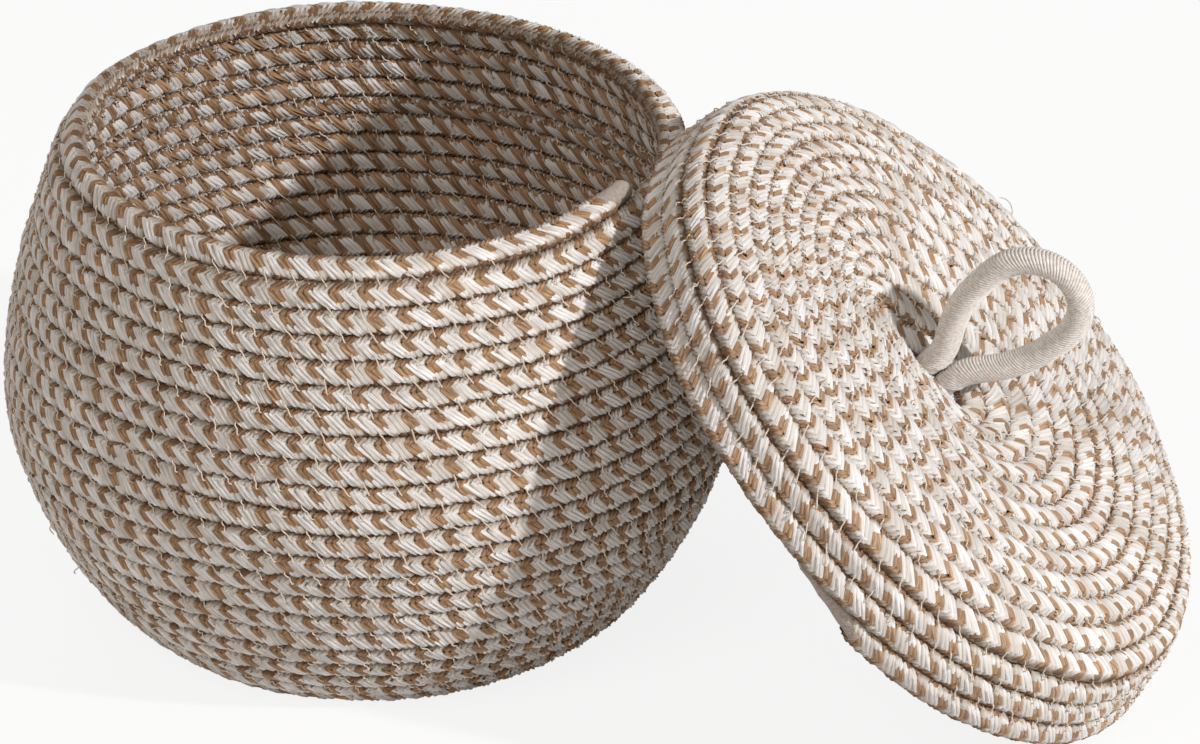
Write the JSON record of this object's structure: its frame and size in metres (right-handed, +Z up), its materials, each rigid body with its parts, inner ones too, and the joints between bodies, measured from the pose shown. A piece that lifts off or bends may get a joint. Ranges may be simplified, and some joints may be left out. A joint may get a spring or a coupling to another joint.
{
  "type": "lidded storage basket",
  "caption": "Round-bellied basket of coiled two-colour cotton rope, standing open with its shallow cap lid, which has a cord loop handle, leaning on the rim.",
  "frame": {"origin": "centre of the basket's base, on the floor", "axes": "+Z up along the basket's axis, +X towards the side where the lid leans, so the lid slopes down along +X"},
  "size_m": [0.3524, 0.2145, 0.1645],
  "materials": {
    "sewn_rope": "matte",
    "handle_cord": "matte",
    "whipping": "matte"
  },
  "bodies": {
    "basket": {"base_coil": "sewn_rope", "wall_coil": "sewn_rope", "mouth_rope_end": "whipping"},
    "lid": {"lid_top_coil": "sewn_rope", "lid_skirt_coil": "sewn_rope", "lid_rope_end": "whipping", "handle_knot": "handle_cord"},
    "handle": {"handle_loop": "handle_cord"}
  },
  "joints": [
    {"name": "lid_lift", "type": "slide", "parent": "basket", "child": "lid", "axis": [0.7071, 0, 0.7071], "range_m": [0, 0.15]},
    {"name": "handle_flop", "type": "hinge", "parent": "lid", "child": "handle", "pos_m": [0.17249, 0, 0.09544], "axis": [0.7071, 0, -0.7071], "range_deg": [-50, 50]}
  ]
}
